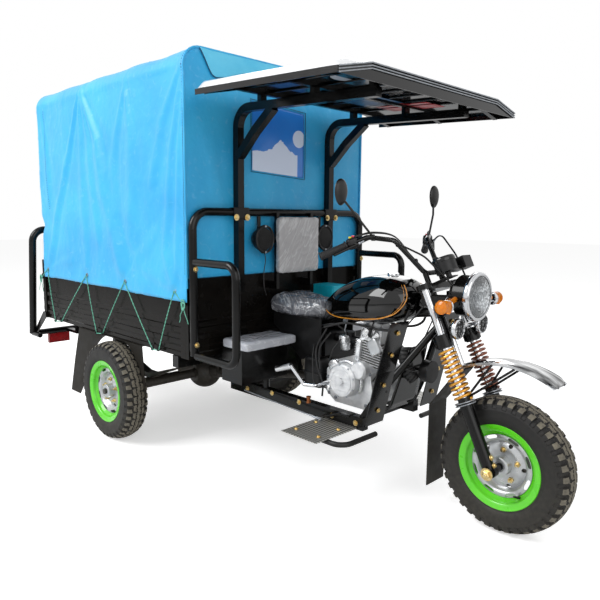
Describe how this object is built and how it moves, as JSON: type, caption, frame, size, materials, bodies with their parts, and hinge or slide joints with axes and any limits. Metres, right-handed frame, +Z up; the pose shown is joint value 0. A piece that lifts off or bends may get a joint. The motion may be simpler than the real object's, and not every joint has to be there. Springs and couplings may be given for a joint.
{
  "type": "cargo motor tricycle",
  "caption": "Three-wheeled cargo motorcycle with a covered steel load box, a cab roof over the saddle, raked spring fork and drop tailgate.",
  "frame": {"origin": "on the ground under the middle of the box that holds the whole tricycle", "axes": "+X forward, +Y to the rider's left, +Z up"},
  "size_m": [3.5408, 1.4242, 2.062],
  "materials": {
    "frame_paint": "gloss black powder coat",
    "bed_paint": "satin black paint",
    "tank_paint": "gloss black lacquer",
    "green_paint": "gloss green paint",
    "chrome": "polished",
    "bright_alloy": "cast and bead blasted",
    "gold_spring": "gold lacquered spring steel",
    "steel": "zinc plated",
    "cast": "painted casting",
    "tyre_rubber": "moulded rubber",
    "grip_rubber": "ribbed rubber",
    "black_plastic": "moulded plastic",
    "gloss_plastic": "glossy moulding",
    "blue_plastic": "moulded plastic",
    "amber_plastic": "amber lens",
    "red_plastic": "red lens",
    "clear_glass": "pressed glass",
    "tarp_cloth": "coated tarpaulin",
    "seat_cloth": "grey seat cloth under clear wrap",
    "saddle_skin": "leather cloth under clear wrap"
  },
  "bodies": {
    "chassis": {"chassis_rails": "frame_paint", "lower_frame": "frame_paint", "front_frame": "frame_paint", "engine": "bright_alloy", "carburettor": "bright_alloy", "exhaust": "steel", "fuel_tank": "tank_paint", "saddle": "saddle_skin", "saddle_base": "black_plastic", "side_cushions": "seat_cloth", "tool_boxes": "frame_paint", "water_tank": "blue_plastic", "leg_shields": "gloss_plastic", "foot_plates": "frame_paint", "kick_lever": "steel", "horn": "black_plastic", "bed_floor": "bed_paint", "bed_sides": "bed_paint", "bed_front_panel": "bed_paint", "gate_hinges": "steel", "front_guard": "frame_paint", "arm_rails": "frame_paint", "backrest_bars": "frame_paint", "backrest": "seat_cloth", "speakers": "black_plastic", "cab_frame": "frame_paint", "roof_ties": "frame_paint", "cab_roof": "gloss_plastic", "tarp_bows": "frame_paint", "tarp": "tarp_cloth", "rear_fenders": "bed_paint", "rear_hoop": "frame_paint", "tail_lamps": "red_plastic", "rear_axle": "cast", "leaf_springs": "cast", "drive_shaft": "cast"},
    "steering": {"fork_clamps": "frame_paint", "fork_tubes": "chrome", "fork_legs": "frame_paint", "fork_springs": "gold_spring", "front_mudguard": "chrome", "front_flap": "black_plastic", "handlebar": "frame_paint", "grips": "grip_rubber", "levers": "black_plastic", "lever_cables": "black_plastic", "mirrors": "black_plastic", "headlamp": "frame_paint", "headlamp_lens": "clear_glass", "indicators": "amber_plastic", "aux_lamps": "chrome", "instruments": "black_plastic"},
    "tailgate_body": {"tailgate": "bed_paint"},
    "front_wheel_body": {"front_tyre": "tyre_rubber", "front_wheel": "green_paint"},
    "rear_wheel_right_body": {"rear_tyre_right": "tyre_rubber", "rear_wheel_right": "green_paint"},
    "rear_wheel_left_body": {"rear_tyre_left": "tyre_rubber", "rear_wheel_left": "green_paint"}
  },
  "joints": [
    {"name": "steering_turn", "type": "hinge", "parent": "chassis", "child": "steering", "pos_m": [1.13789, 0, 0.86964], "axis": [-0.4305, 0, 0.9026], "range_deg": [-35, 35]},
    {"name": "front_wheel_spin", "type": "hinge", "parent": "steering", "child": "front_wheel_body", "pos_m": [1.4875, 0, 0.283], "axis": [0, 1, 0], "continuous": true},
    {"name": "rear_wheel_right_spin", "type": "hinge", "parent": "chassis", "child": "rear_wheel_right_body", "pos_m": [-0.5945, -0.642, 0.283], "axis": [0, 1, 0], "continuous": true},
    {"name": "rear_wheel_left_spin", "type": "hinge", "parent": "chassis", "child": "rear_wheel_left_body", "pos_m": [-0.5945, 0.642, 0.283], "axis": [0, 1, 0], "continuous": true},
    {"name": "tailgate_drop", "type": "hinge", "parent": "chassis", "child": "tailgate_body", "pos_m": [-1.6, 0, 0.59], "axis": [0, -1, 0], "range_deg": [0, 120]}
  ]
}
